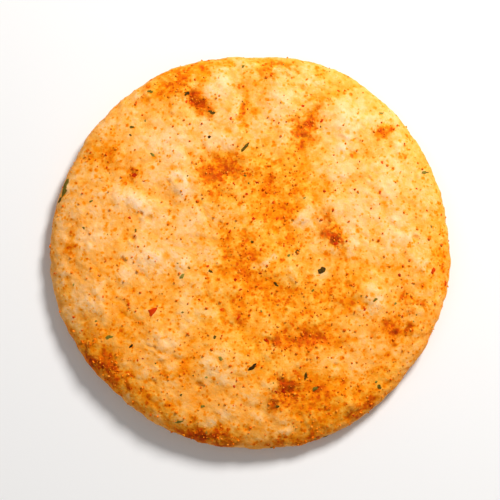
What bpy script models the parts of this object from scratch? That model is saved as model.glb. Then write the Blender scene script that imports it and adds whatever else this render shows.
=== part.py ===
"""A round puffed rice cracker, lying on its underside with its seasoned face up.

It is one solid: a thin round cake with a late-turning rim, slightly domed and warped by baking, with
blisters where the dough puffed, hollows between them, and flats where the underside lay on the grill.
The frame's origin is the middle of the footprint on the resting surface, with +Z up.
"""

import math
import random

import bmesh
import bpy
import numpy as np
from mathutils import Vector, noise

MM = 0.001

# Driving sizes
DIAMETER = 68 * MM
THICKNESS = 6.0 * MM  # of the dough at its middle, without blisters
DOME = 2.2 * MM  # how far the middle stands above the rim, on both faces
RIM_POWER = 11  # the larger, the later the faces turn down to the rim
SURFACE_POINTS = 4000  # spread evenly over the whole surface, about 1.5 mm apart

# The rim's outline leaves the circle in a few shallow waves: (waves round the rim, share of the radius, turn).
OUTLINE_WAVES = (
    (2, 0.003, -13),
    (3, 0.006, 56),
    (5, 0.004, -18),
    (6, 0.004, 2),
    (8, 0.0025, -21),
)

# Baking lifts the rim at 0, 120 and 240 degrees, so the cracker rests on the three stretches between them.
WARP = 0.35 * MM
REST_FLAT = 0.40 * MM  # how much of the lowest dough the grill pressed flat

# The large blisters and hollows of the upper face, in millimetres and degrees:
# (x, y, half length, half width, turn of the length from +X, height).
UPPER_BLISTERS = (
    (-6.0, 27.6, 3.6, 2.8, 60, 0.60),
    (5.0, 26.0, 6.4, 3.8, 100, 0.55),
    (15.5, 22.0, 6.5, 4.6, 140, 0.50),
    (23.0, 11.5, 7.0, 4.8, 110, 0.35),
    (25.5, 1.8, 4.4, 3.2, 20, 0.45),
    (9.0, 5.1, 2.3, 2.2, 0, 0.55),
    (2.2, -3.0, 1.7, 1.4, 30, 0.40),
    (-10.3, 11.4, 4.8, 3.2, 70, 0.45),
    (-19.0, 7.6, 6.4, 2.4, 156, 0.45),
    (-18.0, -1.0, 5.2, 4.0, 30, 0.45),
    (-25.5, -8.5, 5.6, 4.0, 105, 0.40),
    (-4.6, -19.4, 7.2, 5.6, 20, 0.50),
    (-14.5, -16.5, 5.0, 4.0, 130, 0.35),
    (17.3, -26.6, 2.0, 1.8, 0, 0.55),
    (20.5, -8.0, 5.0, 4.2, 60, 0.35),
)
UPPER_HOLLOWS = (
    (-4.6, 13.3, 4.8, 3.6, 30, -0.55),
    (-9.5, 23.6, 4.4, 1.8, -48, -0.50),
    (-0.8, 24.0, 5.6, 1.5, 95, -0.40),
    (9.8, 20.6, 4.6, 1.5, 62, -0.45),
    (3.0, 7.5, 7.5, 4.6, -55, -0.40),
    (14.2, 1.8, 3.0, 2.0, -50, -0.40),
    (5.5, -9.5, 6.5, 4.2, -35, -0.35),
    (9.5, -15.2, 5.6, 2.4, 5, -0.40),
    (6.4, -25.0, 3.4, 2.6, 45, -0.40),
    (-23.8, -18.6, 4.0, 1.8, -52, -0.40),
)

# Smaller blisters, scattered by a seeded draw over each face.
SMALL_BLISTERS = 70
SMALL_RADIUS = (1.8 * MM, 3.4 * MM)
SMALL_HEIGHT = (0.10 * MM, 0.30 * MM)
SMALL_REACH = 0.93  # share of the radius that their middles stay within
UNDER_BLISTERS = 24
UNDER_RADIUS = (3.0 * MM, 6.5 * MM)
UNDER_HEIGHT = (-0.30 * MM, 0.35 * MM)
SEED = 7

# Soft unevenness of the whole surface, and of the rim's edge.
LUMP_SIZE = 8.0 * MM
LUMP_HEIGHT = 0.16 * MM
RIM_LUMP_SIZE = 3.6 * MM
RIM_LUMP_HEIGHT = 0.30 * MM

DOUGH_COLOUR = (0.86, 0.42, 0.12, 1.0)
DOUGH_ROUGHNESS = 0.6

RADIUS = DIAMETER / 2


def clear_scene():
    for old in list(bpy.data.objects):
        bpy.data.objects.remove(old)


def dough_material():
    material = bpy.data.materials.new("dough")
    material.use_nodes = True
    shader = material.node_tree.nodes["Principled BSDF"]
    shader.inputs["Base Color"].default_value = DOUGH_COLOUR
    shader.inputs["Roughness"].default_value = DOUGH_ROUGHNESS
    shader.inputs["Metallic"].default_value = 0.0
    return material


def even_sphere(count):
    """A unit sphere of nearly equal triangles: the hull of points along a golden-angle spiral."""
    golden_angle = math.pi * (3 - math.sqrt(5))
    mesh = bmesh.new()
    for i in range(count):
        height = 1 - (2 * i + 1) / count
        around = math.sqrt(1 - height * height)
        turn = i * golden_angle
        mesh.verts.new((around * math.cos(turn), around * math.sin(turn), height))
    hull = bmesh.ops.convex_hull(mesh, input=mesh.verts)
    assert not hull["geom_interior"]
    return mesh


class Profile:
    """The half section of the plain cake, from the middle of its top to the middle of its underside.

    radius_and_height(share) gives the point that has this share of the surface above it, so an even
    sphere laid on the profile stays even.
    """

    STEPS = 600

    def __init__(self):
        angle = np.linspace(0, math.pi, 2 * self.STEPS + 1)
        across = np.sin(angle)
        self.radius = RADIUS * across
        self.height = THICKNESS / 2 * np.sqrt(1 - across**RIM_POWER) * np.sign(np.cos(angle))
        steps = np.hypot(np.diff(self.radius), np.diff(self.height))
        bands = steps * (self.radius[1:] + self.radius[:-1])
        self.share = np.concatenate([[0], np.cumsum(bands)]) / bands.sum()

    def radius_and_height(self, share):
        return np.interp(share, self.share, self.radius), np.interp(share, self.share, self.height)


def outline_scale(turn):
    """How far the rim lies from the middle in this direction, as a share of the plain radius."""
    waves = (size * math.cos(count * (turn - math.radians(at))) for count, size, at in OUTLINE_WAVES)
    return 1 + sum(waves)


def sheet_height(across, turn):
    """How far baking moved the whole sheet up at a share of the radius and a turn round the middle."""
    return DOME * (1 - across**2) + WARP * across**2 * math.cos(3 * turn)


def lay_on_profile(mesh):
    """Moves the sphere's points onto the plain cake, with its outline, dome and warp."""
    profile = Profile()
    for point in mesh.verts:
        turn = math.atan2(point.co.y, point.co.x)
        radius, height = profile.radius_and_height((1 - point.co.z) / 2)
        rise = sheet_height(radius / RADIUS, turn)
        radius *= outline_scale(turn)
        point.co = Vector((radius * math.cos(turn), radius * math.sin(turn), height + rise))


def placed(rows):
    """The rows of a blister table in metres and radians."""
    for x, y, half_length, half_width, turn, height in rows:
        yield x * MM, y * MM, half_length * MM, half_width * MM, math.radians(turn), height * MM


def scattered(draw, count, radius_range, height_range):
    """Round-ish blisters at drawn places, evenly spread over a face."""
    for _ in range(count):
        reach = RADIUS * SMALL_REACH * math.sqrt(draw.random())
        turn = draw.uniform(0, math.tau)
        size = draw.uniform(*radius_range)
        slimness = draw.uniform(0.65, 1.0)
        height = draw.uniform(*height_range)
        yield reach * math.cos(turn), reach * math.sin(turn), size, size * slimness, turn, height


def swelling(x, y, blisters):
    """The summed height of the blisters over this place: each is a smooth cap that ends level."""
    total = 0.0
    for at_x, at_y, half_length, half_width, turn, height in blisters:
        dx, dy = x - at_x, y - at_y
        along = (dx * math.cos(turn) + dy * math.sin(turn)) / half_length
        aside = (dy * math.cos(turn) - dx * math.sin(turn)) / half_width
        inside = 1 - along * along - aside * aside
        if inside > 0:
            total += height * inside * inside
    return total


def raise_surface(mesh):
    """Lifts each point along its normal by the blisters of its face and by soft noise."""
    draw = random.Random(SEED)
    upper = list(placed(UPPER_BLISTERS + UPPER_HOLLOWS))
    upper += scattered(draw, SMALL_BLISTERS, SMALL_RADIUS, SMALL_HEIGHT)
    under = list(scattered(draw, UNDER_BLISTERS, UNDER_RADIUS, UNDER_HEIGHT))
    under += scattered(draw, SMALL_BLISTERS, SMALL_RADIUS, SMALL_HEIGHT)
    mesh.normal_update()
    lifts = []
    for point in mesh.verts:
        facing = point.normal.z
        blisters = upper if facing > 0 else under
        rim = (1 - abs(facing)) ** 2
        lift = swelling(point.co.x, point.co.y, blisters) * abs(facing)
        lift += LUMP_HEIGHT * noise.fractal(point.co / LUMP_SIZE, 1.0, 2.0, 3)
        lift += RIM_LUMP_HEIGHT * rim * noise.noise(point.co / RIM_LUMP_SIZE)
        lifts.append(point.normal * lift)
    for point, lift in zip(mesh.verts, lifts, strict=True):
        point.co += lift


def press_flats(mesh):
    """Presses the lowest dough flat, and moves the footprint's middle to the origin."""
    x = [point.co.x for point in mesh.verts]
    y = [point.co.y for point in mesh.verts]
    grill = min(point.co.z for point in mesh.verts) + REST_FLAT
    middle = Vector(((min(x) + max(x)) / 2, (min(y) + max(y)) / 2, grill))
    for point in mesh.verts:
        point.co.z = max(point.co.z, grill)
        point.co -= middle


def make_cracker():
    mesh = even_sphere(SURFACE_POINTS)
    lay_on_profile(mesh)
    raise_surface(mesh)
    press_flats(mesh)
    bmesh.ops.recalc_face_normals(mesh, faces=mesh.faces)
    data = bpy.data.meshes.new("cracker")
    mesh.to_mesh(data)
    mesh.free()
    data.shade_smooth()
    data.materials.append(dough_material())
    cracker = bpy.data.objects.new("cracker", data)
    bpy.context.scene.collection.objects.link(cracker)
    return cracker


clear_scene()
make_cracker()
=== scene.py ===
import math
import random

import bmesh
import bpy
import numpy as np
from mathutils import Euler, Matrix, Vector, noise
from mathutils.bvhtree import BVHTree


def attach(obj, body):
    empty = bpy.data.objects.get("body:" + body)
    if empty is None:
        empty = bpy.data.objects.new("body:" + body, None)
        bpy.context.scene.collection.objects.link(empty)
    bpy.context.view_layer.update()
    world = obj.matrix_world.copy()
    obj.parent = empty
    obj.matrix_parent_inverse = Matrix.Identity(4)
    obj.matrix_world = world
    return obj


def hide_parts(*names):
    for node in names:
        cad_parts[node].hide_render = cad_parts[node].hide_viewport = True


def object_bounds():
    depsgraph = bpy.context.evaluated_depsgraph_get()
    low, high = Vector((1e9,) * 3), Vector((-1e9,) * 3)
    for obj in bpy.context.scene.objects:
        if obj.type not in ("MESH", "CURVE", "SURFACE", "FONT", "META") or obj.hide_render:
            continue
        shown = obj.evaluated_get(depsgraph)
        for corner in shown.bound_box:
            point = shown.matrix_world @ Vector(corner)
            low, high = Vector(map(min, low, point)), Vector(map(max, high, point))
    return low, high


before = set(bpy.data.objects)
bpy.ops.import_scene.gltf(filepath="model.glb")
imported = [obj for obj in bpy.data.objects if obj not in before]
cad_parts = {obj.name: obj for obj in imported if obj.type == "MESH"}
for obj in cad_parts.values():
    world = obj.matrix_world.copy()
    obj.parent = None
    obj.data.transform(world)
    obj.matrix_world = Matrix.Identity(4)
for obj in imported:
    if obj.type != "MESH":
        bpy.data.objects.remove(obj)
cad_low, cad_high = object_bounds()

# The looks of one round puffed rice cracker that lies seasoned face up. Its dough is the CAD solid's own
# surface, made finer and roughened with bubbles, creases and pits. Seaweed flakes, chilli flakes and
# seasoning grains lie on it as meshes of their own. Lengths are in metres where nothing else is said, and
# +Z is up.

MM = 0.001
BODY = "root"
RADIUS = (cad_high.x - cad_low.x) / 2
HEIGHT = cad_high.z - cad_low.z

# Seasoning powder that gathered on the upper face, in millimetres and degrees:
# (x, y, half length, half width, turn of the length from +X, amount, redness). At the half length and the
# half width a smear has faded to two fifths.
SMEARS = (
    (5.1, 31.6, 2.8, 1.1, -4, 0.70, 0.60),
    (-8.8, 25.4, 4.0, 1.2, -38, 0.95, 0.65),
    (-13.5, 28.4, 5.0, 2.0, 30, 0.85, 0.30),
    (-0.9, 24.4, 5.2, 1.2, 95, 0.65, 0.25),
    (9.6, 21.2, 3.8, 1.3, 56, 0.90, 0.70),
    (-4.4, 13.2, 3.8, 3.1, 20, 1.00, 0.55),
    (3.8, 12.4, 6.6, 4.6, -20, 0.50, 0.10),
    (5.8, 6.2, 6.0, 3.4, 80, 0.52, 0.10),
    (-1.4, -1.8, 3.6, 5.4, 10, 0.85, 0.20),
    (14.0, 2.2, 2.8, 1.5, -62, 0.95, 0.85),
    (5.6, -8.6, 6.4, 3.8, -25, 0.52, 0.15),
    (14.5, -7.5, 5.0, 3.0, 20, 0.52, 0.15),
    (9.2, -15.2, 5.4, 2.0, 4, 0.90, 0.45),
    (4.4, -15.6, 1.6, 0.8, 10, 0.90, 0.85),
    (5.8, -24.4, 3.0, 1.7, 50, 1.00, 0.85),
    (11.6, -25.0, 4.6, 3.2, 20, 0.60, 0.10),
    (17.8, -27.4, 2.8, 1.3, 40, 0.90, 0.80),
    (25.0, -13.8, 3.6, 1.3, -8, 0.85, 0.75),
    (28.8, -9.2, 1.8, 0.6, 0, 0.85, 0.80),
    (-26.4, -19.0, 5.4, 1.4, -38, 1.00, 1.00),
    (-21.0, -23.6, 3.6, 1.2, -46, 0.75, 0.60),
    (-7.2, -31.8, 5.0, 1.4, -8, 1.00, 1.00),
    (8.5, -32.2, 4.6, 1.0, 8, 0.85, 0.80),
    (-24.0, 16.0, 4.0, 1.2, -40, 0.50, 0.35),
    (-13.0, -20.8, 2.6, 0.9, 20, 0.55, 0.20),
    (-30.6, 1.5, 3.2, 1.2, 80, 0.50, 0.50),
    (23.2, 20.6, 1.3, 0.9, 60, 0.90, 0.35),
    (-19.6, 12.6, 0.8, 0.7, 0, 0.90, 0.80),
    (-2.2, -12.0, 1.1, 0.7, 70, 0.85, 0.60),
    (-5.5, 8.6, 1.8, 1.3, 60, 0.40, 0.30),
)
# Fainter powder: broad patches, and bands along the rim. The bands along the lower and left rim are partly
# powder and partly painted shade, darker on the side turned away from the key lamp.
FAINT_POWDER_AND_RIM_SHADE = (
    (2.0, 11.0, 8.0, 6.0, 0, 0.10, 0.00),
    (-4.5, 10.5, 5.0, 4.0, 0, 0.30, 0.00),
    (8.0, -2.5, 8.0, 4.0, 0, 0.22, 0.00),
    (-3.0, -8.0, 6.0, 6.0, 0, 0.35, 0.00),
    (1.0, -18.0, 9.0, 6.0, 0, 0.28, 0.00),
    (12.0, -19.0, 7.0, 6.0, 30, 0.15, 0.00),
    (-14.0, -9.0, 8.0, 6.0, 0, 0.20, 0.00),
    (-5.0, -17.0, 9.0, 6.0, 0, 0.10, 0.00),
    (20.5, -8.0, 6.0, 4.5, 0, 0.20, 0.00),
    (10.0, 8.0, 5.0, 5.0, 0, 0.22, 0.00),
    (-22.0, -14.0, 6.0, 5.0, 40, 0.15, 0.00),
    # These six bands along the lower and left rim are partly powder and partly painted shade.
    (-26.5, -17.5, 8.0, 2.4, -52, 0.45, 0.20),
    (-15.5, -27.6, 6.5, 1.8, -32, 0.50, 0.20),
    (-6.0, -31.2, 8.0, 2.2, -8, 0.40, 0.00),
    (14.0, -29.0, 7.0, 2.4, 26, 0.45, 0.15),
    (23.0, -22.5, 6.5, 2.4, 46, 0.40, 0.12),
    (-32.6, -7.0, 5.0, 1.4, 100, 0.35, 0.30),
    (32.0, -8.0, 7.0, 2.0, 75, 0.40, 0.20),
    (0.0, 33.0, 8.0, 1.8, 0, 0.35, 0.10),
    (-13.0, 30.5, 7.0, 2.2, 25, 0.45, 0.10),
    (23.0, 24.0, 7.0, 2.0, -45, 0.10, 0.00),
    (29.0, 15.0, 6.0, 4.0, 100, 0.30, 0.00),
    (-28.6, 16.4, 7.0, 2.2, 60, 0.40, 0.10),
    (32.6, 0.5, 6.0, 2.2, 91, 0.35, 0.00),
    (4.5, -0.5, 3.5, 2.5, 0, 0.30, 0.00),
    (-18.0, 19.4, 5.6, 4.4, 30, 0.12, 0.05),
)
# Where less powder stuck, and two painted highlights. An amount below 0 takes powder away.
BARE_SPOTS_AND_GLINTS = (
    (-20.5, 21.5, 7.0, 8.0, 0, -0.25, 0.00),
    (-28.0, 3.0, 4.0, 14.0, 0, -0.22, 0.00),
    (-5.5, 27.2, 3.2, 3.4, 0, -0.60, 0.00),
    (19.0, 18.0, 5.0, 5.0, 0, -0.30, 0.00),
    (27.0, 8.0, 5.0, 6.0, 0, -0.35, 0.00),
    (-1.0, 22.0, 9.0, 6.0, 0, -0.15, 0.00),
    # Painted highlights: the spot at (2.2, -2.9) is a glint on a small blister, and the one at (9.0, 5.2) is
    # a pale blister top with a painted glint on it.
    (2.2, -2.9, 1.2, 0.9, 20, -2.50, 0.00),
    (9.0, 5.2, 1.9, 1.7, 0, -1.40, 0.00),
    (5.5, 28.4, 5.0, 1.6, -4, -0.45, 0.00),
)


def positions(mesh):
    flat = np.empty(3 * len(mesh.vertices), np.float32)
    mesh.vertices.foreach_get("co", flat)
    return flat.reshape(-1, 3).astype(float)


def normals(mesh):
    flat = np.empty(3 * len(mesh.vertices), np.float32)
    mesh.vertices.foreach_get("normal", flat)
    return flat.reshape(-1, 3).astype(float)


def move_to(mesh, points):
    mesh.vertices.foreach_set("co", points.astype(np.float32).ravel())
    mesh.update()


def edge_ends(mesh):
    flat = np.empty(2 * len(mesh.edges), np.int32)
    mesh.edges.foreach_get("vertices", flat)
    return flat.reshape(-1, 2)


def write_values(mesh, name, values):
    """Stores one number for each vertex, for the materials to read."""
    layer = mesh.attributes.new(name, "FLOAT", "POINT")
    layer.data.foreach_set("value", values.astype(np.float32))


def read_values(mesh, name):
    values = np.empty(len(mesh.vertices), np.float32)
    mesh.attributes[name].data.foreach_get("value", values)
    return values.astype(float)


def averaged(values, edges, times):
    """Each vertex's value replaced by the mean of itself and its neighbours, so many times."""
    links = np.bincount(edges.ravel(), minlength=len(values))
    for _ in range(times):
        total = values.copy()
        np.add.at(total, edges[:, 0], values[edges[:, 1]])
        np.add.at(total, edges[:, 1], values[edges[:, 0]])
        values = total / (1 + links).reshape(-1, *[1] * (values.ndim - 1))
    return values


def smooth_step(value, low, high):
    """0 below low, 1 above high, and a soft curve between."""
    share = np.clip((value - low) / (high - low), 0, 1)
    return share * share * (3 - 2 * share)


# ---------------------------------------------------------------- the dough's shape


WELD = 0.002 * MM  # vertices closer than this are one
SWELL_STEPS = 14  # rounds of averaging over the CAD solid's vertices, which are 1.5 mm apart
SUBDIVISIONS = 2

# Packed bubbles of the baked surface: (height, width, share that stands up), in millimetres.
LARGE_BUBBLES = (0.31, 4.4, 0.6)
PATCHY_BUBBLES = (0.15, 2.2, 0.6)
FINE_BUBBLES = (0.14, 1.1, 0.7)
RIM_BUBBLES = (0.26, 1.7, 0.5)
LOW_BUBBLE = 0.12  # height of a bubble that stays low, as a share of the full height
BUBBLE_WANDER = 0.45 * MM  # how far their places are moved about, so that their outlines curve
CREASE_DEPTH = 0.13 * MM
CREASE_SPACING = 5.5 * MM
CREASE_SHARPNESS = 4.5  # the larger, the thinner the creases
FINE_HEIGHT = 0.065 * MM  # of the fine unevenness between the bubbles
FINE_SIZE = 1.2 * MM
SWELL_GAIN = 0.2  # how much further the CAD solid's own blisters stand out
RELIEF_STEPS = 60  # rounds of averaging that leave only what is broader than the bubbles

# Burst bubbles, with sizes in millimetres.
PITS = 110
PIT_SEED = 21
PIT_REACH = 0.94  # share of the radius that they stay within
PIT_RADIUS = (0.35, 0.8)
PIT_DEPTH = (0.12, 0.34)

TOAST_HEIGHT = 1.3 * MM  # how far above the grill the underside browned
TOAST_WANDER = 0.5 * MM  # how far that height varies

# The two faces' discs on the baking map.
DISC_MIDDLES = (0.2929, 0.7071)  # both across and up: the upper face's, then the underside's
DISC_RADIUS = 0.285
DISC_REACH = 1.08  # what the disc's edge stands for, as a share of the cracker's radius
RIM_SPREAD = 1.0 * MM  # extra width that the map gives the rim, where the surface turns down

# The noises' own lattice is turned and shifted, so that none of its planes lies along the cracker.
LATTICE_TURN = np.array(Euler((0.7, 0.5, 0.4)).to_matrix())
LATTICE_SHIFT = np.array((3.7, 1.9, 8.3))
CELL_STRIDE = 17.0  # sets the bubbles' middles far apart, so that each draws a height of its own


def lattice(points, size):
    """The points in the noises' own space, where a feature is 1 across."""
    return [Vector(point) for point in points @ LATTICE_TURN / size + LATTICE_SHIFT]


def noise_at(points, size, octaves=1):
    """Soft noise, about -1 to 1, with features of this size; more octaves add finer ones."""
    if octaves == 1:
        return np.array([noise.noise(point) for point in lattice(points, size)])
    return np.array([noise.fractal(point, 0.9, 2.0, octaves) for point in lattice(points, size)])


def creases_at(points, size):
    """1 along thin wandering lines about this far apart, and 0 away from them."""
    return 1 - np.clip(np.abs(noise_at(points, size)) * CREASE_SHARPNESS, 0, 1)


def bubbles_at(points, kind):
    """How far packed domes of this kind raise each point: 0 at their edges, and most at their middles."""
    tall, width, rising = kind
    shares = np.empty(len(points))
    for i, point in enumerate(lattice(points, width * MM)):
        distances, middles = noise.voronoi(point)
        draw = 0.5 + 0.5 * noise.cell(middles[0] * CELL_STRIDE)
        dome = 1 - (distances[0] / max(distances[1], 1e-6)) ** 2
        shares[i] = dome * (0.25 + 0.75 * draw if draw < rising else LOW_BUBBLE)
    return tall * MM * shares


def coarse_dough():
    """The CAD solid's surface as one connected mesh.

    Stores how far it swells above its surroundings, and its facing: 1 up, 0 level and -1 down.
    """
    shape = bmesh.new()
    shape.from_mesh(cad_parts["cracker"].data)
    bmesh.ops.remove_doubles(shape, verts=shape.verts, dist=WELD)
    bmesh.ops.recalc_face_normals(shape, faces=shape.faces)
    mesh = bpy.data.meshes.new("dough_coarse")
    shape.to_mesh(mesh)
    shape.free()
    points = positions(mesh)
    around = averaged(points, edge_ends(mesh), SWELL_STEPS)
    outward = normals(mesh)
    swell = ((points - around) * outward).sum(1)
    write_values(mesh, "swell", swell - averaged(swell, edge_ends(mesh), 3 * SWELL_STEPS))
    write_values(mesh, "facing", averaged(outward[:, 2], edge_ends(mesh), 2))
    lay_out_map(mesh)
    return mesh


def lay_out_map(mesh):
    """Lays the two faces out as two discs for baking. They meet along the rim's widest line."""
    points, facing = positions(mesh), read_values(mesh, "facing")
    layer = mesh.uv_layers.new(name="OFBake")
    radius = np.hypot(points[:, 0], points[:, 1])
    around = points[:, :2] / np.maximum(radius, 1e-9)[:, None]
    discs = []
    for side, middle in zip((1, -1), DISC_MIDDLES, strict=True):
        spread = radius + RIM_SPREAD * (1 - side * facing) ** 2
        discs.append((middle, around * np.minimum(spread, DISC_REACH * RADIUS)[:, None]))
    scale = DISC_RADIUS / (DISC_REACH * RADIUS)
    for face in mesh.polygons:
        middle, disc = discs[0 if facing[list(face.vertices)].mean() > 0 else 1]
        for loop, vertex in zip(face.loop_indices, face.vertices, strict=True):
            layer.data[loop].uv = disc[vertex] * scale + middle


def subdivided(mesh, levels):
    carrier = bpy.data.objects.new("carrier", mesh)
    bpy.context.scene.collection.objects.link(carrier)
    subdivision = carrier.modifiers.new("finer", "SUBSURF")
    subdivision.levels = levels
    subdivision.render_levels = levels
    depsgraph = bpy.context.evaluated_depsgraph_get()
    finer = bpy.data.meshes.new_from_object(carrier.evaluated_get(depsgraph))
    bpy.data.objects.remove(carrier)
    bpy.data.meshes.remove(mesh)
    return finer


def pits(points, facing):
    """Small burst bubbles on both faces: each is a hole, below 0, inside a low rim."""
    draw = random.Random(PIT_SEED)
    height = np.zeros(len(points))
    for _ in range(PITS):
        reach = RADIUS * PIT_REACH * math.sqrt(draw.random())
        turn = draw.uniform(0, math.tau)
        size = draw.uniform(*PIT_RADIUS) * MM
        deep = draw.uniform(*PIT_DEPTH) * MM
        side = 1 if draw.random() < 0.5 else -1
        away = np.hypot(points[:, 0] - reach * math.cos(turn), points[:, 1] - reach * math.sin(turn)) / size
        hole = -np.exp(-((away / 0.75) ** 4)) + 0.2 * np.exp(-(((away - 1.25) / 0.35) ** 2))
        height += deep * hole * (facing * side > 0.3)
    return height


def toasted(points, facing):
    """1 where the underside lay on the grill or close above it, and 0 well clear of it."""
    below = TOAST_HEIGHT - points[:, 2] + TOAST_WANDER * noise_at(points, 2.6 * MM, 3)
    near = smooth_step(below, 0, TOAST_HEIGHT)
    return near * smooth_step(-facing, 0.3, 0.8)


def roughen(mesh):
    """Raises the bubbles, creases, pits and fine unevenness of the baked surface.

    Stores its relief, 0 in hollows and 1 on tops, and its toast, 1 where it browned on the grill.
    """
    points, outward = positions(mesh), normals(mesh)
    facing = read_values(mesh, "facing")
    wander = np.stack([noise_at(points + offset * MM, 3.0 * MM, 2) for offset in (0, 40, 80)], 1)
    warped = points + BUBBLE_WANDER * wander
    patches = 0.5 + 0.5 * noise_at(points, 11 * MM, 2)
    rim = smooth_step(1 - np.abs(facing), 0.1, 0.6)
    swell = read_values(mesh, "swell")
    height = SWELL_GAIN * swell
    height += bubbles_at(warped, LARGE_BUBBLES)
    height += bubbles_at(warped, PATCHY_BUBBLES) * (0.5 + patches)
    height += bubbles_at(warped, FINE_BUBBLES)
    height += bubbles_at(warped, RIM_BUBBLES) * rim
    height -= CREASE_DEPTH * creases_at(warped, CREASE_SPACING)
    height += FINE_HEIGHT * noise_at(points, FINE_SIZE, 3)
    height += pits(points, facing)
    height -= height.mean()
    local = height - averaged(height, edge_ends(mesh), RELIEF_STEPS)
    relief = 0.5 + 1.1 * local / MM + 0.55 * swell / MM
    write_values(mesh, "relief", np.clip(relief, 0, 1))
    points += outward * height[:, None]
    points[:, 2] = np.maximum(points[:, 2], 0.0)
    write_values(mesh, "toast", toasted(points, facing))
    move_to(mesh, points)


RAGGEDNESS = 1.9  # in millimetres, how far the edges of the smears wander
SMEAR_FADE = 0.9  # the larger, the sooner a smear fades away from its middle
PATCH_AMOUNT = 0.22  # of the powder that lies in soft patches everywhere


def season(mesh):
    """Stores how much seasoning powder lies on each place and how red it is, with painted shade along the
    lower and left rim and two painted highlights among them.
    """
    points, facing = positions(mesh), read_values(mesh, "facing")
    relief = read_values(mesh, "relief")
    ragged = points / MM
    ragged[:, 0] += RAGGEDNESS * noise_at(points, 2.2 * MM, 4)
    ragged[:, 1] += RAGGEDNESS * noise_at(points + 50 * MM, 2.2 * MM, 4)
    upper = smooth_step(facing, -0.35, 0.25)
    amount = np.zeros(len(points))
    redness = np.zeros(len(points))
    for x, y, half_length, half_width, turn, strength, red in SMEARS + FAINT_POWDER_AND_RIM_SHADE + BARE_SPOTS_AND_GLINTS:
        dx, dy = ragged[:, 0] - x, ragged[:, 1] - y
        cosine, sine = math.cos(math.radians(turn)), math.sin(math.radians(turn))
        along = (dx * cosine + dy * sine) / half_length
        aside = (dy * cosine - dx * sine) / half_width
        here = strength * np.exp(-SMEAR_FADE * (along**2 + aside**2)) * upper
        amount = amount + here * (1 - amount)
        redness = np.maximum(redness, red * here)
    patches = smooth_step(noise_at(points + 90 * MM, 9 * MM, 3), 0.0, 0.8)
    amount += PATCH_AMOUNT * patches * (1 - amount)
    # Powder gathers in what lies low.
    amount += (0.5 - relief) * (0.25 + 0.6 * amount)
    write_values(mesh, "seasoning", np.clip(amount, 0, 1))
    write_values(mesh, "redness", np.clip(redness * (1.15 - 0.5 * relief), 0, 1))


# ---------------------------------------------------------------- materials


class Shader:
    """A material under construction. Most methods add a node and return its output."""

    def __init__(self, name):
        self.material = bpy.data.materials.new(name)
        self.material.use_nodes = True
        self.tree = self.material.node_tree
        self.surface = self.tree.nodes["Principled BSDF"]
        self.place = self.tree.nodes.new("ShaderNodeTexCoord").outputs["Object"]

    def node(self, kind, **settings):
        made = self.tree.nodes.new(kind)
        for setting, value in settings.items():
            setattr(made, setting, value)
        return made

    def put(self, value, socket):
        """Links an output to the socket, or sets the socket to a plain value."""
        if isinstance(value, bpy.types.NodeSocket):
            self.tree.links.new(value, socket)
        else:
            socket.default_value = value

    def attribute(self, name):
        return self.node("ShaderNodeAttribute", attribute_name=name).outputs["Fac"]

    def noise(self, size, detail, roughness=0.5, distortion=0.0):
        made = self.node("ShaderNodeTexNoise")
        self.put(self.place, made.inputs["Vector"])
        made.inputs["Scale"].default_value = 1 / size
        made.inputs["Detail"].default_value = detail
        made.inputs["Roughness"].default_value = roughness
        made.inputs["Distortion"].default_value = distortion
        return made.outputs["Fac"]

    def wandering(self, reach, size):
        """The place shifted, and moved about by up to half this reach each way, in waves of this size."""
        waves = self.node("ShaderNodeTexNoise")
        self.put(self.place, waves.inputs["Vector"])
        waves.inputs["Scale"].default_value = 1 / size
        moved = self.node("ShaderNodeVectorMath", operation="MULTIPLY_ADD")
        self.put(waves.outputs["Color"], moved.inputs[0])
        moved.inputs[1].default_value = (reach, reach, reach)
        self.put(self.place, moved.inputs[2])
        return moved.outputs[0]

    def cells(self, place, size):
        """The distance from each cell's middle, in cells, and a number drawn for each cell."""
        made = self.node("ShaderNodeTexVoronoi")
        self.put(place, made.inputs["Vector"])
        made.inputs["Scale"].default_value = 1 / size
        return made.outputs["Distance"], made.outputs["Color"]

    def maths(self, operation, first, second=0.0, clamp=False):
        made = self.node("ShaderNodeMath", operation=operation, use_clamp=clamp)
        self.put(first, made.inputs[0])
        self.put(second, made.inputs[1])
        return made.outputs[0]

    def scaled(self, value, low, high, to_low=0.0, to_high=1.0):
        """Maps low..high to to_low..to_high, held at both ends."""
        made = self.node("ShaderNodeMapRange", interpolation_type="SMOOTHSTEP")
        self.put(value, made.inputs["Value"])
        made.inputs["From Min"].default_value = low
        made.inputs["From Max"].default_value = high
        made.inputs["To Min"].default_value = to_low
        made.inputs["To Max"].default_value = to_high
        return made.outputs["Result"]

    def ramp(self, value, stops):
        """A colour ramp with stops of (place, display colour)."""
        made = self.node("ShaderNodeValToRGB")
        self.put(value, made.inputs["Fac"])
        elements = made.color_ramp.elements
        while len(elements) < len(stops):
            elements.new(1.0)
        for element, (place, colour) in zip(elements, stops, strict=True):
            element.position = place
            element.color = (*linear(colour), 1.0)
        return made.outputs["Color"]

    def mix(self, amount, first, second, blend="MIX"):
        made = self.node("ShaderNodeMix", data_type="RGBA", blend_type=blend)
        self.put(amount, made.inputs["Factor"])
        self.put(first, made.inputs["A"])
        self.put(second, made.inputs["B"])
        return made.outputs["Result"]

    def bump(self, height, distance, strength):
        made = self.node("ShaderNodeBump")
        self.put(height, made.inputs["Height"])
        made.inputs["Distance"].default_value = distance
        made.inputs["Strength"].default_value = strength
        return made.outputs["Normal"]


def linear(colour):
    """A display colour of 0 to 255 as the linear values that shaders take."""
    return tuple((value / 255) ** 2.2 for value in colour)


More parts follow.
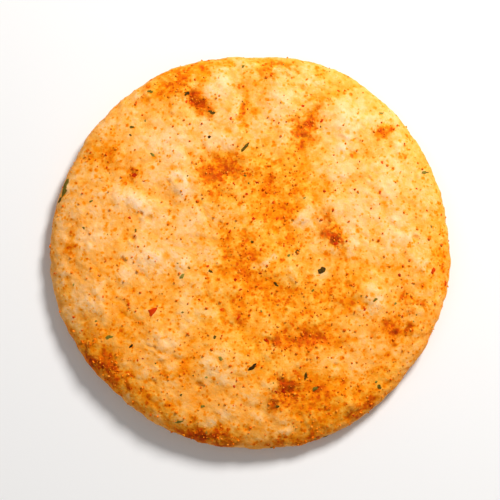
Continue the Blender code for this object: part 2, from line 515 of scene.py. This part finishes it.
# Ramps of (place, (red, green, blue)). Baked tone 0 is the palest dough.
UNDER_TONES = (
    (0.0, (255, 220, 164)),
    (0.3, (250, 196, 122)),
    (0.6, (232, 158, 76)),
    (0.8, (204, 120, 46)),
    (1.0, (158, 82, 26)),
)
UPPER_TONES = (
    (0.0, (255, 214, 180)),
    (0.2, (255, 198, 135)),
    (0.4, (255, 174, 80)),
    (0.6, (250, 144, 20)),
    (0.8, (235, 113, 0)),
    (1.0, (210, 86, 0)),
)
BURNT_TONES = (
    (0.32, (220, 78, 0)),
    (0.50, (170, 48, 2)),
    (0.68, (110, 32, 2)),
)
POWDER_TINT = (1.0, 0.97, 0.45, 1.0)  # what thick powder multiplies the dough's colour by
SEAWEED_SHADES = (
    (0.0, (54, 34, 12)),
    (0.3, (88, 66, 20)),
    (0.6, (116, 100, 32)),
    (1.0, (150, 138, 62)),
)
CHILLI_SHADES = (
    (0.0, (134, 30, 2)),
    (0.5, (200, 52, 4)),
    (1.0, (232, 84, 12)),
)
SEASONING_SHADES = (
    (0.0, (216, 88, 4)),
    (0.3, (238, 116, 12)),
    (0.7, (244, 138, 28)),
    (1.0, (248, 156, 52)),
)


def dots(shader, powder, spacing, reach, least, amount):
    """Powder dots as an amount of baked tone, up to one in each cell, and more of them where powder lies.

    reach is a dot's radius in cells, and least is the number that a cell has to draw to get a dot.
    """
    away, drawn = shader.cells(shader.wandering(0.7 * spacing, 0.6 * spacing), spacing)
    likely = shader.maths("ADD", drawn, shader.maths("MULTIPLY", powder, 0.35))
    picked = shader.scaled(likely, least, least + 0.12)
    dot = shader.scaled(away, 0.3 * reach, reach, amount, 0.0)
    return shader.maths("MULTIPLY", dot, picked)


def underside_colour(shader, relief, mottle, facing):
    """Paler than the seasoned face, and browned where blisters stood out or lay on the grill."""
    toast = shader.attribute("toast")
    tone = shader.scaled(relief, 0.4, 0.9, 0.10, 0.42)
    tone = shader.maths("ADD", tone, shader.scaled(toast, 0.0, 1.0, 0.0, 0.40))
    tone = shader.maths("ADD", tone, shader.scaled(mottle, 0.32, 0.68, -0.14, 0.16))
    tone = shader.maths("ADD", tone, shader.scaled(facing, -0.9, 0.0, 0.0, 0.16))
    spots = dots(shader, toast, 1.6 * MM, 0.40, 0.72, 0.26)
    tone = shader.maths("ADD", tone, spots, clamp=True)
    return shader.ramp(tone, UNDER_TONES)


def upper_colour(shader, relief, mottle, facing, seasoning, redness):
    """Peach to orange with the seasoning's powder and dots, and red-brown where it is thickest."""
    broad = shader.noise(7 * MM, 3)
    powder = shader.maths("MULTIPLY", seasoning, shader.scaled(shader.noise(0.8 * MM, 3), 0.3, 0.7, 0.5, 1.2))
    tone = shader.maths("MULTIPLY", powder, 0.46)
    tone = shader.maths("ADD", tone, shader.scaled(mottle, 0.32, 0.68, -0.07, 0.09))
    # Paler on bubble tops and deeper orange in hollows: partly the bare dough of the tops, partly painted
    # shade in the hollows.
    tone = shader.maths("ADD", tone, shader.scaled(relief, 0.15, 0.85, 0.20, -0.05))
    tone = shader.maths("ADD", tone, shader.scaled(broad, 0.35, 0.7, 0.24, 0.12))
    veins = shader.maths("ABSOLUTE", shader.maths("SUBTRACT", shader.noise(2.6 * MM, 3, 0.6, 0.6), 0.5))
    tone = shader.maths("ADD", tone, shader.scaled(veins, 0.0, 0.045, 0.07, 0.0))
    tone = shader.maths("ADD", tone, shader.scaled(facing, 0.40, 0.97, 0.25, 0.0))
    tone = shader.maths("ADD", tone, dots(shader, powder, 2.1 * MM, 0.38, 0.62, 0.15))
    tone = shader.maths("ADD", tone, dots(shader, powder, 1.2 * MM, 0.42, 0.58, 0.28))
    tone = shader.maths("ADD", tone, dots(shader, powder, 0.7 * MM, 0.45, 0.55, 0.28), clamp=True)
    colour = shader.ramp(tone, UPPER_TONES)
    colour = shader.mix(shader.scaled(seasoning, 0.05, 0.55), colour, POWDER_TINT, "MULTIPLY")
    red_brown = shader.ramp(shader.noise(0.9 * MM, 3), BURNT_TONES)
    burnt = shader.maths("MULTIPLY", redness, shader.scaled(mottle, 0.38, 0.54, 0.10, 1.50), clamp=True)
    return shader.mix(shader.maths("MULTIPLY", burnt, 0.9), colour, red_brown)


def dough_material():
    shader = Shader("baked_dough")
    relief = shader.attribute("relief")
    facing = shader.attribute("facing")
    seasoning = shader.attribute("seasoning")
    mottle = shader.noise(1.5 * MM, 5, 0.62, 0.4)
    upper = upper_colour(shader, relief, mottle, facing, seasoning, shader.attribute("redness"))
    under = underside_colour(shader, relief, mottle, facing)
    ragged = shader.maths("ADD", facing, shader.scaled(mottle, 0.32, 0.68, -0.25, 0.25))
    colour = shader.mix(shader.scaled(ragged, -0.75, 0.05), under, upper)
    shader.put(colour, shader.surface.inputs["Base Color"])
    shader.put(shader.scaled(seasoning, 0.1, 0.8, 0.50, 0.70), shader.surface.inputs["Roughness"])
    grain = shader.maths("ADD", shader.noise(0.5 * MM, 4, 0.6), shader.maths("MULTIPLY", mottle, 0.8))
    shader.put(shader.bump(grain, 0.11 * MM, 0.9), shader.surface.inputs["Normal"])
    shader.surface.inputs["Specular IOR Level"].default_value = 0.05
    shader.surface.inputs["Subsurface Weight"].default_value = 0.12
    shader.surface.inputs["Subsurface Radius"].default_value = (1.0, 0.35, 0.12)
    shader.surface.inputs["Subsurface Scale"].default_value = 0.6 * MM
    return shader.material


def make_dough():
    mesh = subdivided(coarse_dough(), SUBDIVISIONS)
    roughen(mesh)
    season(mesh)
    mesh.shade_smooth()
    mesh.materials.clear()
    mesh.materials.append(dough_material())
    mesh.name = "dough"
    dough = bpy.data.objects.new("dough", mesh)
    bpy.context.scene.collection.objects.link(dough)
    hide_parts("cracker")
    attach(dough, BODY)
    return dough


def flake_material(name, shades):
    """Dry scraps of one kind: each has its own shade, a little mottled."""
    shader = Shader(name)
    mottle = shader.scaled(shader.noise(0.35 * MM, 3), 0.3, 0.7, -0.14, 0.14)
    shade = shader.maths("ADD", shader.attribute("shade"), mottle, clamp=True)
    shader.put(shader.ramp(shade, shades), shader.surface.inputs["Base Color"])
    shader.put(shader.scaled(mottle, -0.1, 0.1, 0.65, 0.85), shader.surface.inputs["Roughness"])
    shader.put(shader.bump(shader.noise(0.18 * MM, 3), 0.05 * MM, 0.6), shader.surface.inputs["Normal"])
    shader.surface.inputs["Specular IOR Level"].default_value = 0.06
    return shader.material


# ---------------------------------------------------------------- what lies on the dough


# Seaweed flakes that stand out, in millimetres and degrees: (x, y, length, width, turn, shade).
# Shade 0 is dark brown and 1 is pale olive.
SEAWEED = (
    (-31.9, 10.8, 3.2, 1.6, 64, 0.55),
    (-32.6, 8.8, 1.6, 0.8, 20, 0.40),
    (-30.6, 16.2, 2.4, 0.7, 55, 0.80),
    (-10.8, 26.8, 1.2, 0.9, 30, 0.15),
    (-17.1, 27.3, 1.2, 0.7, -20, 0.60),
    (-6.5, 23.5, 1.5, 0.8, -15, 0.30),
    (-20.2, 20.9, 1.0, 0.6, 20, 0.45),
    (-6.9, 19.1, 0.7, 0.6, 0, 0.05),
    (-0.8, 17.3, 2.3, 0.7, 50, 0.35),
    (-1.2, 31.6, 1.2, 0.6, 70, 0.70),
    (-16.6, 16.0, 1.1, 0.6, -30, 0.80),
    (-6.7, -4.0, 0.9, 0.6, -30, 0.20),
    (12.1, -3.7, 1.8, 1.5, 40, 0.12),
    (8.0, -0.7, 0.9, 0.8, 60, 0.30),
    (4.4, -6.2, 1.0, 0.6, -40, 0.15),
    (-11.5, -4.8, 1.4, 0.7, 40, 0.85),
    (-24.0, -15.1, 1.9, 0.8, 15, 0.70),
    (-20.1, -16.6, 1.0, 0.6, 50, 0.05),
    (-6.0, -15.2, 0.9, 0.6, 60, 0.40),
    (-5.0, -18.7, 1.2, 0.8, -40, 0.75),
    (0.6, -20.2, 1.9, 1.3, 35, 0.00),
    (9.4, -21.4, 1.8, 0.6, 78, 0.15),
    (10.8, -23.8, 1.4, 1.0, 30, 0.60),
    (21.8, -23.3, 1.2, 0.9, -50, 0.40),
    (29.9, 13.3, 1.8, 0.6, 20, 0.70),
    (22.6, 23.6, 1.0, 0.6, 10, 0.80),
    (-7.9, -26.6, 1.0, 0.5, 20, 0.70),
    (-12.0, -29.3, 1.6, 0.6, 15, 0.75),
    (12.8, -31.7, 1.2, 0.7, 40, 0.35),
    (4.6, -26.7, 0.8, 0.5, 0, 0.25),
    (21.2, -8.8, 1.0, 0.6, 25, 0.55),
    (-19.4, 3.0, 0.8, 0.5, 80, 0.60),
    (-27.1, 8.2, 0.7, 0.5, 20, 0.65),
)

# Chilli flakes that stand out, in the same way. Shade 0 is dark red and 1 is bright.
CHILLI = (
    (-16.4, -11.0, 2.1, 1.7, 50, 0.55),
    (31.2, -3.7, 1.3, 0.9, 70, 0.60),
    (33.4, -5.6, 1.6, 0.7, 75, 0.70),
    (-19.7, 12.6, 1.2, 0.9, 20, 0.35),
    (0.6, 5.0, 0.9, 0.6, -30, 0.50),
    (-3.4, 2.8, 0.8, 0.5, 60, 0.55),
    (1.2, 11.2, 0.8, 0.5, 0, 0.45),
    (-2.0, -11.9, 0.9, 0.6, 40, 0.60),
    (2.6, -15.6, 1.0, 0.7, 20, 0.40),
    (5.6, -24.2, 1.1, 0.8, -40, 0.30),
    (12.2, 22.0, 1.1, 0.5, 60, 0.60),
    (9.0, 24.6, 0.8, 0.5, -30, 0.55),
    (14.6, 0.8, 1.1, 0.7, 30, 0.45),
)


BROAD_REACH = 0.8 * MM  # how far round a place its broad direction is averaged


class Surface:
    """Finds places on the finished dough, and the material values stored there."""

    def __init__(self, mesh):
        self.points = positions(mesh)
        self.outward = normals(mesh)
        self.seasoning = read_values(mesh, "seasoning")
        self.facing = read_values(mesh, "facing")
        mesh.calc_loop_triangles()
        triangles = [tuple(triangle.vertices) for triangle in mesh.loop_triangles]
        self.tree = BVHTree.FromPolygons([Vector(point) for point in self.points], triangles)

    def at(self, x, y):
        """The place and outward direction of the upper face at x and y, or None past the rim."""
        place, outward, _, _ = self.tree.ray_cast(Vector((x, y, 2 * HEIGHT)), Vector((0, 0, -1)))
        return place and (place, self.broad(place, outward))

    def broad(self, place, outward):
        """The direction that the surface faces, averaged over the triangles round a place."""
        for _, direction, _, _ in self.tree.find_nearest_range(place, BROAD_REACH):
            outward = outward + direction
        return outward.normalized()

    def drawn(self, draw, weight):
        """A vertex's place and direction, drawn with odds in proportion to the weights."""
        row = int(np.searchsorted(weight, draw.random() * weight[-1]))
        place = Vector(self.points[row])
        return place, self.broad(place, Vector(self.outward[row]))


BIT_REACH = 0.42  # radius of a bit's disc on the baking map, as a share of its square's width
SHARP_ANGLE = 35  # in degrees: a bit's edges that turn by more than this are sharp


def disc_corners(faces, plan):
    """Where each face's corners lie on a disc of radius 1 with the shape's top in its middle.

    plan gives each point's distance from the middle and its turn. The shape's bottom is the one point at
    distance 1, and it lies on the disc's rim beside each of its faces.
    """
    places = [Vector((reach * math.cos(turn), reach * math.sin(turn))) for reach, turn in plan]
    corners = []
    for face in faces:
        beside = sum((places[point] for point in face if plan[point][0] < 1), Vector((0, 0)))
        corners += [places[point] if plan[point][0] < 1 else beside.normalized() for point in face]
    return np.array(corners)


class Scatter:
    """Many small bits joined in one mesh, each with its own shade."""

    def __init__(self, name, slot, material):
        self.name = name
        self.slot = slot
        self.material = material
        self.points = []
        self.faces = []
        self.corners = []
        self.shades = []

    def add(self, points, faces, corners, shade):
        """Adds one bit, with none of its points below the resting surface."""
        start = len(self.points)
        self.points += [Vector((point.x, point.y, max(point.z, 0.0))) for point in points]
        self.faces += [tuple(start + corner for corner in face) for face in faces]
        self.corners.append(corners)
        self.shades += [shade] * len(points)

    def lay_out_map(self, mesh):
        """Gives each bit a square of its own on the baking map."""
        across = math.ceil(math.sqrt(len(self.corners)))
        places = [
            (corners * BIT_REACH + (i % across + 0.5, i // across + 0.5)) / across
            for i, corners in enumerate(self.corners)
        ]
        layer = mesh.uv_layers.new(name="OFBake")
        layer.uv.foreach_set("vector", np.concatenate(places).astype(np.float32).ravel())

    def finish(self):
        mesh = bpy.data.meshes.new(self.name)
        mesh.from_pydata(self.points, [], self.faces)
        mesh.update()
        write_values(mesh, "shade", np.array(self.shades))
        self.lay_out_map(mesh)
        mesh.shade_smooth()
        mesh.set_sharp_from_angle(angle=math.radians(SHARP_ANGLE))
        mesh.materials.append(self.material)
        piece = bpy.data.objects.new(self.name, mesh)
        bpy.context.scene.collection.objects.link(piece)
        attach(piece, BODY)


def standing_on(place, outward, turn):
    """The matrix that lays +Z along the outward direction, and +X at this turn in the cracker's plane."""
    along = Vector((math.cos(turn), math.sin(turn), 0))
    along = along - outward * along.dot(outward)
    if along.length < 1e-3:
        along = outward.orthogonal()
    along.normalize()
    aside = outward.cross(along)
    return Matrix.Translation(place) @ Matrix((along, aside, outward)).transposed().to_4x4()


FLAKE_THICKNESS = (0.09, 0.16)  # in millimetres
OUTLINE_POINTS = 11
OUTLINE_REACH = (0.58, 1.18)  # how far each point of the outline lies out, as a share of a plain ellipse
CURL = (-0.25, 0.35)  # how strongly a flake bends along its length
CRUMPLE = 0.5  # how far each point is lifted or pushed down, as a share of the thickness
TILT = 0.10  # in radians, the usual tilt of a flake against the dough
FLAKE_LIFT = 0.3  # how far a flake is raised, as a share of its thickness
DRAPE = 0.85  # how much of the dough's bumps a flake follows
DRAPE_REACH = 1.5 * MM  # how far above and below a flake the dough is looked for
DRAPE_LIMIT = 0.5 * MM  # the furthest that draping moves a point
# The flake's rings from its top to its underside: (share of the width, height as a share of the thickness).
FLAKE_RINGS = ((0.0, 0.5), (0.55, 0.55), (0.9, 0.3), (1.0, -0.05), (0.85, -0.5), (0.0, -0.5))


def flake(draw, length, width, thickness):
    """A thin crumpled scrap about its own middle: its points, its faces and their disc_corners."""
    curl = draw.uniform(*CURL) * thickness / MM
    rims = [draw.uniform(*OUTLINE_REACH) for _ in range(OUTLINE_POINTS)]
    crumple = [draw.uniform(-CRUMPLE, CRUMPLE) * thickness for _ in range(OUTLINE_POINTS)]
    points = []
    plan = []
    for ring, (inset, level) in enumerate(FLAKE_RINGS):
        for i in range(OUTLINE_POINTS if inset else 1):
            turn = math.tau * i / OUTLINE_POINTS
            x = 0.5 * length * inset * rims[i] * math.cos(turn)
            y = 0.5 * width * inset * rims[i] * math.sin(turn)
            bend = curl * x * x / max(length, width)
            points.append(Vector((x, y, level * thickness + crumple[i] * inset + bend)))
            plan.append((ring / (len(FLAKE_RINGS) - 1), turn))
    last = len(points) - 1
    faces = []
    for i in range(OUTLINE_POINTS):
        after = (i + 1) % OUTLINE_POINTS
        faces.append((0, 1 + i, 1 + after))
        for ring in range(len(FLAKE_RINGS) - 3):
            low, high = 1 + ring * OUTLINE_POINTS, 1 + (ring + 1) * OUTLINE_POINTS
            faces.append((low + i, high + i, high + after, low + after))
        faces.append((last, last - OUTLINE_POINTS + after, last - OUTLINE_POINTS + i))
    return points, faces, disc_corners(faces, plan)


def draped(surface, points, outward):
    """The points moved along the outward direction, so that a scrap follows the bumps under it."""
    middle_point = points[0]
    settled = []
    for point in points:
        hit, _, _, _ = surface.tree.ray_cast(point + outward * DRAPE_REACH, -outward, 3 * DRAPE_REACH)
        level = (hit - middle_point).dot(outward) if hit else 0.0
        settled.append(point + outward * DRAPE * max(-DRAPE_LIMIT, min(DRAPE_LIMIT, level)))
    return settled


def lay_flake(surface, scatter, draw, spot, length, width, turn, shade):
    place, outward = spot
    thickness = draw.uniform(*FLAKE_THICKNESS) * MM
    points, faces, corners = flake(draw, length, width, thickness)
    tilt = Euler((draw.gauss(0, TILT), draw.gauss(0, TILT), 0)).to_matrix().to_4x4()
    seat = standing_on(place, outward, turn) @ tilt
    points = draped(surface, [seat @ point for point in points], outward)
    scatter.add([point + outward * FLAKE_LIFT * thickness for point in points], faces, corners, shade)


def running_total(weights):
    return np.cumsum(np.maximum(weights, 0))


FLAKE_SEED = 5
# Small flakes drawn at random: how many, and how long the longest is in millimetres.
SMALL_SEAWEED = (50, 0.65)
SMALL_CHILLI = (55, 0.75)
SHORTEST_FLAKE = 0.3
FLAKE_WIDTH = (0.5, 0.85)  # of a small flake, as a share of its length
FLAKE_SHADE = (0.25, 1.0)
UNDERSIDE_ODDS = 0.06  # of a small flake, where the upper face has 1 more


def sprinkle_flakes(surface):
    """Seaweed and chilli: the ones that stand out first, then small ones drawn at random."""
    draw = random.Random(FLAKE_SEED)
    seaweed = Scatter("seaweed_flakes", "seaweed", flake_material("dried_seaweed", SEAWEED_SHADES))
    chilli = Scatter("chilli_flakes", "chilli", flake_material("dried_chilli", CHILLI_SHADES))
    for scatter, rows in ((seaweed, SEAWEED), (chilli, CHILLI)):
        for x, y, length, width, turn, shade in rows:
            spot = surface.at(x * MM, y * MM)
            if spot:
                lay_flake(surface, scatter, draw, spot, length * MM, width * MM, math.radians(turn), shade)
    everywhere = running_total(UNDERSIDE_ODDS + smooth_step(surface.facing, -0.2, 0.3))
    for scatter, (count, longest) in ((seaweed, SMALL_SEAWEED), (chilli, SMALL_CHILLI)):
        for _ in range(count):
            spot = surface.drawn(draw, everywhere)
            length = draw.uniform(SHORTEST_FLAKE, longest) * MM
            width = length * draw.uniform(*FLAKE_WIDTH)
            shade = draw.uniform(*FLAKE_SHADE)
            lay_flake(surface, scatter, draw, spot, length, width, draw.uniform(0, math.tau), shade)
    seaweed.finish()
    chilli.finish()


def ball(divisions):
    """A unit icosphere's points, its faces and their disc_corners."""
    shape = bmesh.new()
    bmesh.ops.create_icosphere(shape, subdivisions=divisions, radius=1.0)
    shape.verts.ensure_lookup_table()
    points = [vertex.co.copy() for vertex in shape.verts]
    faces = [tuple(vertex.index for vertex in face.verts) for face in shape.faces]
    shape.free()
    plan = [(math.acos(round(point.z, 5)) / math.pi, math.atan2(point.y, point.x)) for point in points]
    return points, faces, disc_corners(faces, plan)


GRAINS = 2300
GRAIN_SEED = 11
# Radius of a grain in millimetres: most are near the smallest.
SMALLEST_GRAIN = 0.07
GRAIN_SPREAD = 0.16
GRAIN_STRETCH = (0.7, 1.35)
GRAIN_LUMPS = (0.8, 1.15)
GRAIN_LIFT = 0.25  # how far its middle lies off the dough, as a share of its radius
GRAIN_DIVISIONS = 2
# Odds of a grain: on the underside, and how much is added to them on the bare upper face.
UNDERSIDE_GRAINS = 0.01
UPPER_GRAINS = 0.10


def sprinkle_grains(surface):
    """Grains of seasoning, thickest where the powder gathered."""
    draw = random.Random(GRAIN_SEED)
    grains = Scatter("seasoning_grains", "seasoning", flake_material("seasoning", SEASONING_SHADES))
    points, faces, corners = ball(GRAIN_DIVISIONS)
    upper = smooth_step(surface.facing, -0.5, 0.2)
    thick = running_total(UNDERSIDE_GRAINS + upper * (UPPER_GRAINS + surface.seasoning**1.5))
    for _ in range(GRAINS):
        place, outward = surface.drawn(draw, thick)
        size = MM * (SMALLEST_GRAIN + GRAIN_SPREAD * draw.random() ** 3)
        stretch = [size * draw.uniform(*GRAIN_STRETCH) for _ in range(3)]
        turn = Euler([draw.uniform(0, math.tau) for _ in range(3)]).to_matrix()
        lumps = [draw.uniform(*GRAIN_LUMPS) for _ in points]
        seat = place + outward * GRAIN_LIFT * size
        grain = [
            seat + turn @ Vector([lump * a * b for a, b in zip(point, stretch, strict=True)])
            for point, lump in zip(points, lumps, strict=True)
        ]
        grains.add(grain, faces, corners, draw.random())
    grains.finish()


# ---------------------------------------------------------------- the stage


def look_at(thing, place, target):
    thing.location = place
    thing.rotation_mode = "QUATERNION"
    thing.rotation_quaternion = (target - place).to_track_quat("-Z", "Y")


def around(azimuth, elevation, distance, middle):
    """The place that is this far from the middle; azimuth 0 is on the -Y side and 90 on the +X side."""
    azimuth, elevation = math.radians(azimuth), math.radians(elevation)
    level = distance * math.cos(elevation)
    offset = Vector((level * math.sin(azimuth), -level * math.cos(azimuth), distance * math.sin(elevation)))
    return middle + offset


CAMERA_ELEVATION = 84
CAMERA_LENS = 150
FILLS = 0.80  # share of the picture's width that the cracker takes

# (name, azimuth, elevation, distance, width of the disc, watts, colour)
LAMPS = (
    ("key", 145, 42, 0.45, 0.14, 2.5, (1.0, 0.975, 0.95)),
    ("fill", -60, 55, 0.9, 0.6, 0.7, (1.0, 0.98, 0.96)),
)
BACKGROUND_STRENGTH = 0.27
FLOOR_REACH = 3.0
FLOOR_COLOUR = (0.86, 0.86, 0.86, 1.0)


def add_camera(middle):
    data = bpy.data.cameras.new("camera")
    data.lens = CAMERA_LENS
    data.clip_start = 0.01
    data.clip_end = 20
    camera = bpy.data.objects.new("camera", data)
    bpy.context.scene.collection.objects.link(camera)
    distance = 2 * RADIUS / FILLS * CAMERA_LENS / data.sensor_width
    look_at(camera, around(0, CAMERA_ELEVATION, distance, middle), middle)
    bpy.context.scene.camera = camera


def add_lamp(name, azimuth, elevation, distance, size, power, colour, middle):
    data = bpy.data.lights.new(name, "AREA")
    data.shape = "DISK"
    data.size = size
    data.energy = power
    data.color = colour
    lamp = bpy.data.objects.new(name, data)
    bpy.context.scene.collection.objects.link(lamp)
    look_at(lamp, around(azimuth, elevation, distance, middle), middle)


def add_floor():
    shader = Shader("floor")
    shader.surface.inputs["Base Color"].default_value = FLOOR_COLOUR
    shader.surface.inputs["Roughness"].default_value = 0.9
    sides = ((-1, -1), (1, -1), (1, 1), (-1, 1))
    corners = [(right * FLOOR_REACH, back * FLOOR_REACH, 0) for right, back in sides]
    mesh = bpy.data.meshes.new("floor")
    mesh.from_pydata(corners, [], [(0, 1, 2, 3)])
    mesh.materials.append(shader.material)
    floor = bpy.data.objects.new("floor", mesh)
    bpy.context.scene.collection.objects.link(floor)


def add_background():
    world = bpy.data.worlds.new("studio")
    world.use_nodes = True
    world.node_tree.nodes["Background"].inputs["Color"].default_value = (1.0, 1.0, 1.0, 1.0)
    world.node_tree.nodes["Background"].inputs["Strength"].default_value = BACKGROUND_STRENGTH
    bpy.context.scene.world = world


def add_stage(middle):
    add_floor()
    add_background()
    for lamp in LAMPS:
        add_lamp(*lamp, middle)
    add_camera(middle)
    bpy.context.scene.view_settings.view_transform = "Standard"


dough = make_dough()
surface = Surface(dough.data)
sprinkle_flakes(surface)
sprinkle_grains(surface)
add_stage((cad_low + cad_high) / 2)
